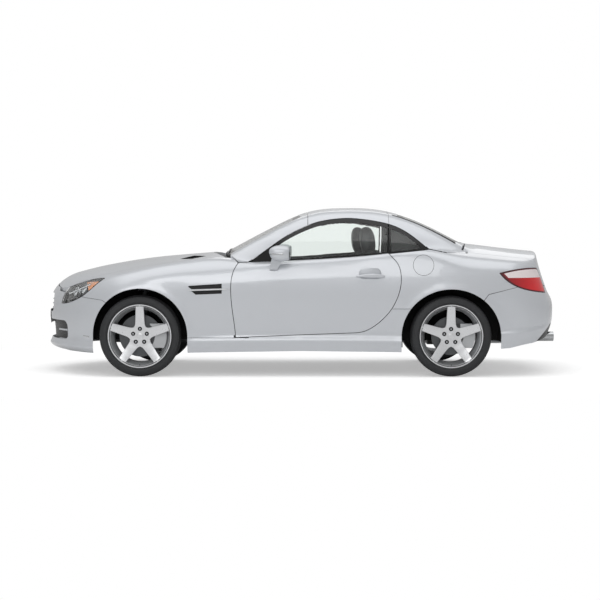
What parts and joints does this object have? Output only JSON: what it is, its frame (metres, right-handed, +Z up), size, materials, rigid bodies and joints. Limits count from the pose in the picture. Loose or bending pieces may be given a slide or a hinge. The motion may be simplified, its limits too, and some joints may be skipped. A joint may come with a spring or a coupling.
{
  "type": "roadster",
  "caption": "Two-seat roadster with a folding hardtop, shown closed, with opening doors, bonnet and boot lid, steered front wheels and turning wheels.",
  "frame": {"origin": "on the ground, on the centre plane, halfway between the foremost and the rearmost point", "axes": "+X towards the tail, +Y towards the car's right-hand side, +Z up"},
  "size_m": [4.132, 2, 1.3267],
  "materials": {
    "paint": "light silver metallic",
    "dark_plastic": "satin",
    "glass": "clear, faint green tint",
    "lamp": "clear",
    "red_lamp": "gloss",
    "tyre": "matt",
    "alloy": "satin silver",
    "disc": "machined",
    "steel": "matt",
    "structure": "matt",
    "trim": "grained",
    "leather": "satin",
    "chrome": "bright"
  },
  "bodies": {
    "chassis": {"front_bumper": "paint", "rear_bumper": "paint", "windscreen_frame": "paint", "roof_panel": "paint", "rear_roof_frame": "paint", "front_fender_left": "paint", "front_fender_right": "paint", "side_sill_left": "paint", "side_sill_right": "paint", "rear_quarter_left": "paint", "rear_quarter_right": "paint", "cowl_panel": "dark_plastic", "grille": "dark_plastic", "front_wheel_liners": "dark_plastic", "rear_wheel_liners": "dark_plastic", "windscreen": "glass", "rear_window": "glass", "quarter_windows": "glass", "headlamp_left": "lamp", "headlamp_right": "lamp", "tail_lamp_left": "red_lamp", "tail_lamp_right": "red_lamp", "front_suspension": "steel", "rear_suspension": "steel", "engine": "steel", "floor_pan": "structure", "firewall": "structure", "rear_bulkhead": "structure", "front_frame": "structure", "rear_frame": "structure", "dashboard": "trim", "centre_console": "trim", "seat_left": "leather", "seat_right": "leather", "exhaust": "chrome"},
    "bonnet": {"bonnet": "paint"},
    "boot_lid": {"boot_lid": "paint"},
    "steering_wheel": {"steering_wheel": "trim"},
    "door_left": {"door_left": "paint", "door_window_left": "glass", "door_mirror_left": "paint", "door_handle_left": "paint"},
    "front_upright_left": {"front_knuckle_left": "steel"},
    "front_wheel_left": {"front_tyre_left": "tyre", "front_rim_left": "alloy", "front_brake_disc_left": "disc"},
    "rear_wheel_left": {"rear_tyre_left": "tyre", "rear_rim_left": "alloy", "rear_brake_disc_left": "disc"},
    "door_right": {"door_right": "paint", "door_window_right": "glass", "door_mirror_right": "paint", "door_handle_right": "paint"},
    "front_upright_right": {"front_knuckle_right": "steel"},
    "front_wheel_right": {"front_tyre_right": "tyre", "front_rim_right": "alloy", "front_brake_disc_right": "disc"},
    "rear_wheel_right": {"rear_tyre_right": "tyre", "rear_rim_right": "alloy", "rear_brake_disc_right": "disc"}
  },
  "joints": [
    {"name": "bonnet_hinge", "type": "hinge", "parent": "chassis", "child": "bonnet", "pos_m": [-0.5, 0, 0.89], "axis": [0, 1, 0], "range_deg": [0, 45]},
    {"name": "boot_hinge", "type": "hinge", "parent": "chassis", "child": "boot_lid", "pos_m": [1.235, 0, 1], "axis": [0, -1, 0], "range_deg": [0, 60]},
    {"name": "door_left_hinge", "type": "hinge", "parent": "chassis", "child": "door_left", "pos_m": [-0.5, -0.858, 0.635], "axis": [0, 0, -1], "range_deg": [0, 65]},
    {"name": "door_right_hinge", "type": "hinge", "parent": "chassis", "child": "door_right", "pos_m": [-0.5, 0.858, 0.635], "axis": [0, 0, 1], "range_deg": [0, 65]},
    {"name": "steer_left", "type": "hinge", "parent": "chassis", "child": "front_upright_left", "pos_m": [-1.252, -0.692, 0.176], "axis": [0.0436, 0.2291, 0.9724], "range_deg": [-33, 33]},
    {"name": "steer_right", "type": "hinge", "parent": "chassis", "child": "front_upright_right", "pos_m": [-1.252, 0.692, 0.176], "axis": [0.0436, -0.2291, 0.9724], "range_deg": [-33, 33]},
    {"name": "steering_wheel_turn", "type": "hinge", "parent": "chassis", "child": "steering_wheel", "pos_m": [-0.08, -0.365, 0.79], "axis": [0.922, 0, 0.3872], "range_deg": [-470, 470]},
    {"name": "front_wheel_left_spin", "type": "hinge", "parent": "front_upright_left", "child": "front_wheel_left", "pos_m": [-1.25, -0.78, 0.318], "axis": [0, 1, 0], "continuous": true},
    {"name": "rear_wheel_left_spin", "type": "hinge", "parent": "chassis", "child": "rear_wheel_left", "pos_m": [1.18, -0.78, 0.316], "axis": [0, 1, 0], "continuous": true},
    {"name": "front_wheel_right_spin", "type": "hinge", "parent": "front_upright_right", "child": "front_wheel_right", "pos_m": [-1.25, 0.78, 0.318], "axis": [0, 1, 0], "continuous": true},
    {"name": "rear_wheel_right_spin", "type": "hinge", "parent": "chassis", "child": "rear_wheel_right", "pos_m": [1.18, 0.78, 0.316], "axis": [0, 1, 0], "continuous": true}
  ],
  "couplings": [
    {"joint": "steer_right", "follows": "steer_left", "ratio": 1},
    {"joint": "steering_wheel_turn", "follows": "steer_left", "ratio": 14}
  ]
}
